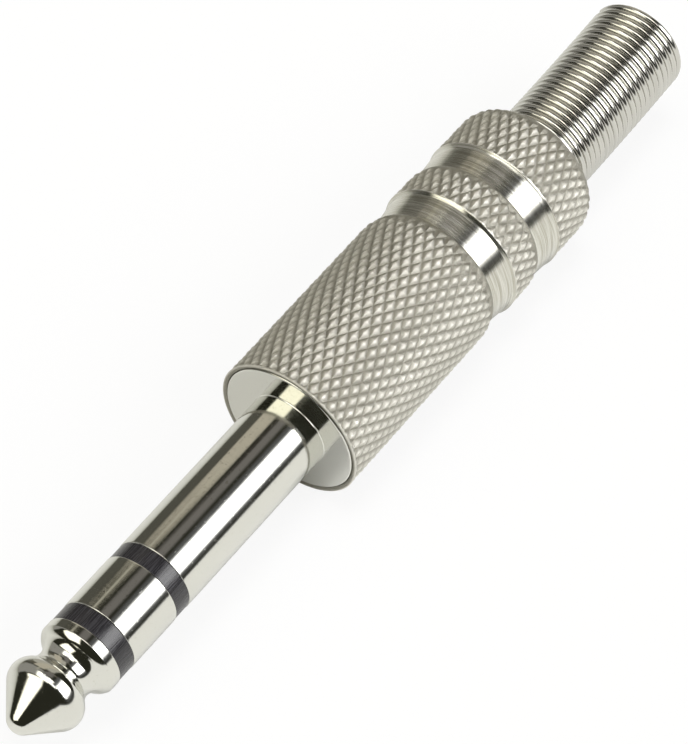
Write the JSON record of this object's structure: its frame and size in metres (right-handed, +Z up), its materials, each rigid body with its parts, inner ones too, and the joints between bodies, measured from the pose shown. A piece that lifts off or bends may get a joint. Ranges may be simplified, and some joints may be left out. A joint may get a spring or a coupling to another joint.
{
  "type": "stereo jack plug",
  "caption": "Stereo jack plug: pointed tip, ring and sleeve contacts on one shaft, knurled screw-on barrel and a coil spring strain relief at its tail.",
  "frame": {"origin": "on the shaft's axis at the front face of the flange, the shoulder that stops against a socket", "axes": "+X runs back along the plug's axis towards the cable, so the tip points to -X; +Z is up with the plug lying on its barrel"},
  "size_m": [0.078, 0.012, 0.012],
  "materials": {
    "turned_nickel": "bright nickel plate on turned brass",
    "knurled_nickel": "satin nickel plate on knurled brass",
    "bright_wire": "bright nickel plated spring wire",
    "tinned_stamping": "tinned stamped sheet",
    "black_insulator": "turned black plastic",
    "inner_tube": "natural white plastic tube",
    "fibre_washer": "punched brown fibre board",
    "clear_sleeve": "translucent plastic tube"
  },
  "bodies": {
    "plug": {"tip_contact": "turned_nickel", "tip_insulator": "black_insulator", "rod_tube": "inner_tube", "ring_contact": "turned_nickel", "ring_insulator": "black_insulator", "ring_tube": "inner_tube", "sleeve_body": "turned_nickel", "ground_lug": "tinned_stamping", "body_washer": "fibre_washer", "ring_lug": "tinned_stamping", "lug_washer": "fibre_washer", "tip_lug": "tinned_stamping"},
    "strain_relief": {"strain_relief_spring": "bright_wire"},
    "barrel": {"barrel": "knurled_nickel", "insulating_sleeve": "clear_sleeve"}
  },
  "joints": [
    {"name": "barrel_travel", "type": "slide", "parent": "plug", "child": "strain_relief", "axis": [1, 0, 0], "range_m": [0, 0.0054]},
    {"name": "barrel_unscrew", "type": "hinge", "parent": "strain_relief", "child": "barrel", "pos_m": [0, 0, 0], "axis": [1, 0, 0], "range_deg": [0, 2520]}
  ],
  "couplings": [
    {"joint": "barrel_travel", "follows": "barrel_unscrew", "m_per_rad": 0.00011937}
  ]
}
